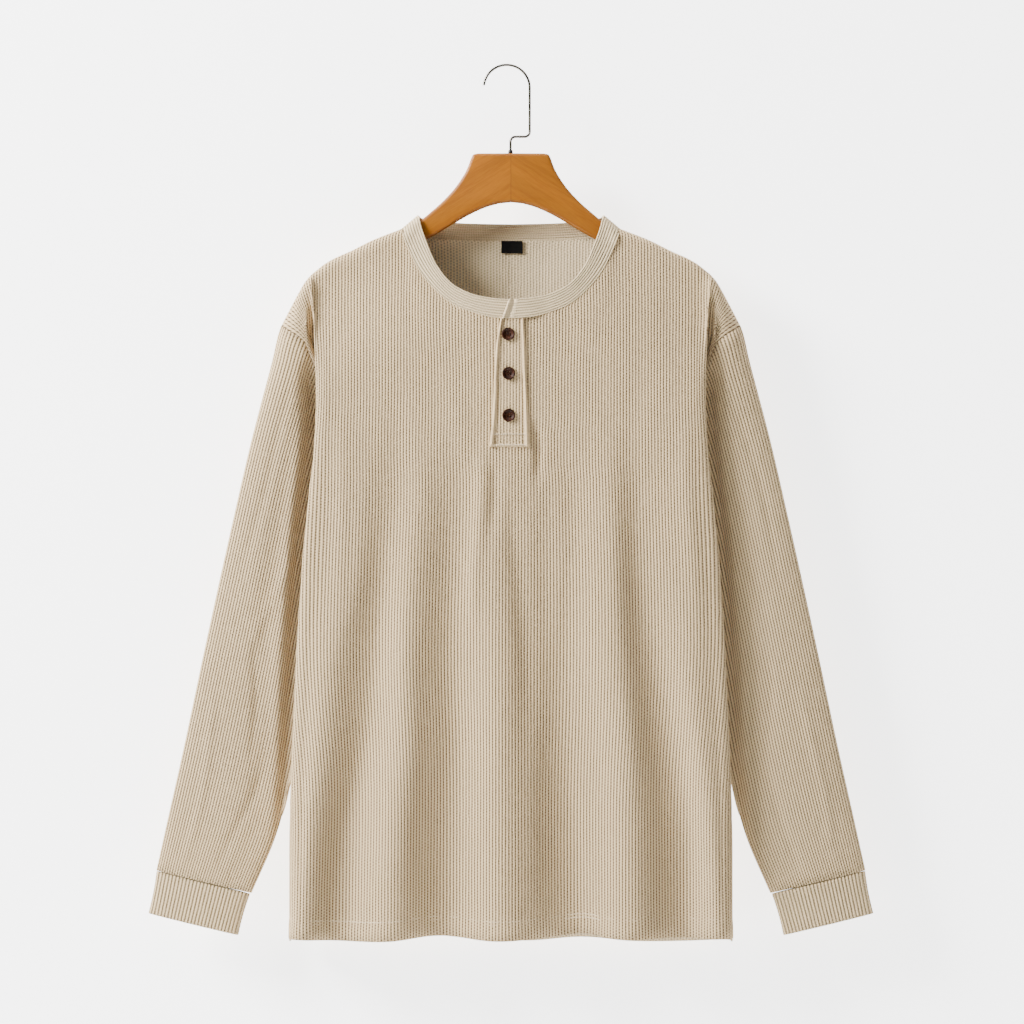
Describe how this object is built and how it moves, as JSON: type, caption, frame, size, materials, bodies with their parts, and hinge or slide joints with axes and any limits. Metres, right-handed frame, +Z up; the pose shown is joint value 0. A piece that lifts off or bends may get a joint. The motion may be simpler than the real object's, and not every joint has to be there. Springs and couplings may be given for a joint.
{
  "type": "henley shirt on a hanger",
  "caption": "Long-sleeved henley shirt of waffle jersey with a ribbed neckband, button placket and ribbed cuffs, hanging on a wooden hanger with a wire hook.",
  "frame": {"origin": "underside of the hook's crown, where a rail carries the hanger", "axes": "+Z up, +X to the viewer's right, +Y back; the shirt's front faces -Y"},
  "size_m": [0.7288, 0.0686, 0.8795],
  "materials": {
    "waffle_front": "beige waffle jersey, matt",
    "waffle_back": "beige waffle jersey, matt",
    "waffle_sleeve": "beige waffle jersey, matt",
    "rib_cuff": "beige rib knit, matt",
    "rib_neck": "beige rib knit, matt",
    "placket_cloth": "beige jersey placket, matt",
    "button_brown": "dark brown resin, satin",
    "label_dark": "dark woven label, bare",
    "hanger_wood": "clear-varnished wood",
    "hook_wire": "bright steel wire",
    "ferrule_dark": "dark metal"
  },
  "bodies": {
    "root": {"front": "waffle_front", "back": "waffle_back", "sleeve_left": "waffle_sleeve", "sleeve_right": "waffle_sleeve", "cuff_left": "rib_cuff", "cuff_right": "rib_cuff", "neckband": "rib_neck", "placket_over": "placket_cloth", "placket_under": "placket_cloth", "button_top": "button_brown", "button_middle": "button_brown", "button_bottom": "button_brown", "neck_label": "label_dark", "hanger": "hanger_wood", "hanger_hook": "hook_wire", "hook_ferrule": "ferrule_dark"}
  },
  "joints": []
}
